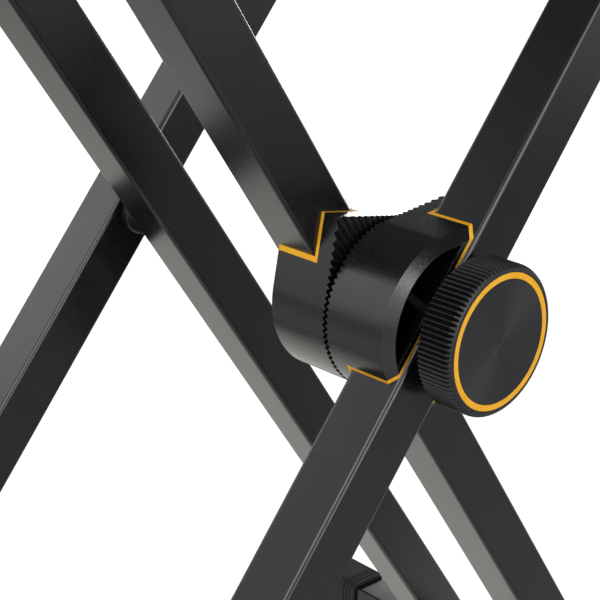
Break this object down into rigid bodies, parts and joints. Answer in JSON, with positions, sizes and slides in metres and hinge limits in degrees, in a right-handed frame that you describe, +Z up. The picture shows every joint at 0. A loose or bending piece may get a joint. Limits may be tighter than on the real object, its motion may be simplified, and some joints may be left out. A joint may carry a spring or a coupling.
{
  "type": "folding keyboard stand",
  "caption": "Folding double-X keyboard stand of black square tube with a toothed clutch hub, a ribbed hand knob with a coloured ring, rubber-padded arms and rubber feet.",
  "frame": {"origin": "on the floor, under the middle of the four feet", "axes": "+Z up, Y along the pivot axis with the hand knob at -Y, X across the spread of the legs"},
  "size_m": [0.6118, 0.406, 0.8],
  "materials": {
    "powder_coat": "satin black powder coat",
    "black_rubber": "matt moulded rubber",
    "black_casting": "die casting with sandy black paint",
    "orange_plastic": "satin moulded plastic",
    "black_plastic": "matt moulded plastic",
    "face_disc": "fine concentric turned face",
    "brass": "turned",
    "zinc_steel": "bright zinc plate"
  },
  "bodies": {
    "inner_frame": {"clutch_bolt": "zinc_steel", "clutch_half_rear": "black_casting", "clutch_liner_rear": "orange_plastic", "clutch_spring": "zinc_steel", "inner_arm_bar": "powder_coat", "inner_arm_cap_front": "black_rubber", "inner_arm_cap_rear": "black_rubber", "inner_arm_pad": "black_rubber", "inner_foot_bar": "powder_coat", "inner_foot_cap_front": "black_rubber", "inner_foot_cap_rear": "black_rubber", "inner_leg_front": "powder_coat", "inner_leg_rear": "powder_coat", "pivot_bolt": "zinc_steel", "pivot_nut": "zinc_steel", "pivot_spacer": "black_plastic", "pivot_washer": "zinc_steel"},
    "clutch_carrier": {"clutch_sleeve": "zinc_steel", "thrust_washer": "black_plastic"},
    "outer_frame": {"outer_arm_bar": "powder_coat", "outer_arm_cap_front": "black_rubber", "outer_arm_cap_rear": "black_rubber", "outer_arm_pad": "black_rubber", "outer_foot_bar": "powder_coat", "outer_foot_cap_front": "black_rubber", "outer_foot_cap_rear": "black_rubber", "outer_leg_front": "powder_coat", "outer_leg_rear": "powder_coat", "clutch_half_front": "black_casting", "clutch_liner_front": "orange_plastic", "pivot_bush": "black_plastic", "pivot_plug": "black_plastic"},
    "knob": {"knob_body": "black_plastic", "knob_disc": "face_disc", "knob_insert": "brass", "knob_ring": "orange_plastic"}
  },
  "joints": [
    {"name": "clutch_close", "type": "slide", "parent": "inner_frame", "child": "clutch_carrier", "axis": [0, 1, 0], "range_m": [0, 0.002], "deforming": ["clutch_spring"]},
    {"name": "fold", "type": "hinge", "parent": "clutch_carrier", "child": "outer_frame", "pos_m": [0, -0.118, 0.4], "axis": [0, 1, 0], "range_deg": [-64.29, 68.57]},
    {"name": "knob_turn", "type": "hinge", "parent": "clutch_carrier", "child": "knob", "pos_m": [0, -0.1521, 0.4], "axis": [0, 1, 0], "range_deg": [0, 480]}
  ],
  "couplings": [
    {"joint": "knob_turn", "follows": "clutch_close", "rad_per_m": 4188.8}
  ]
}
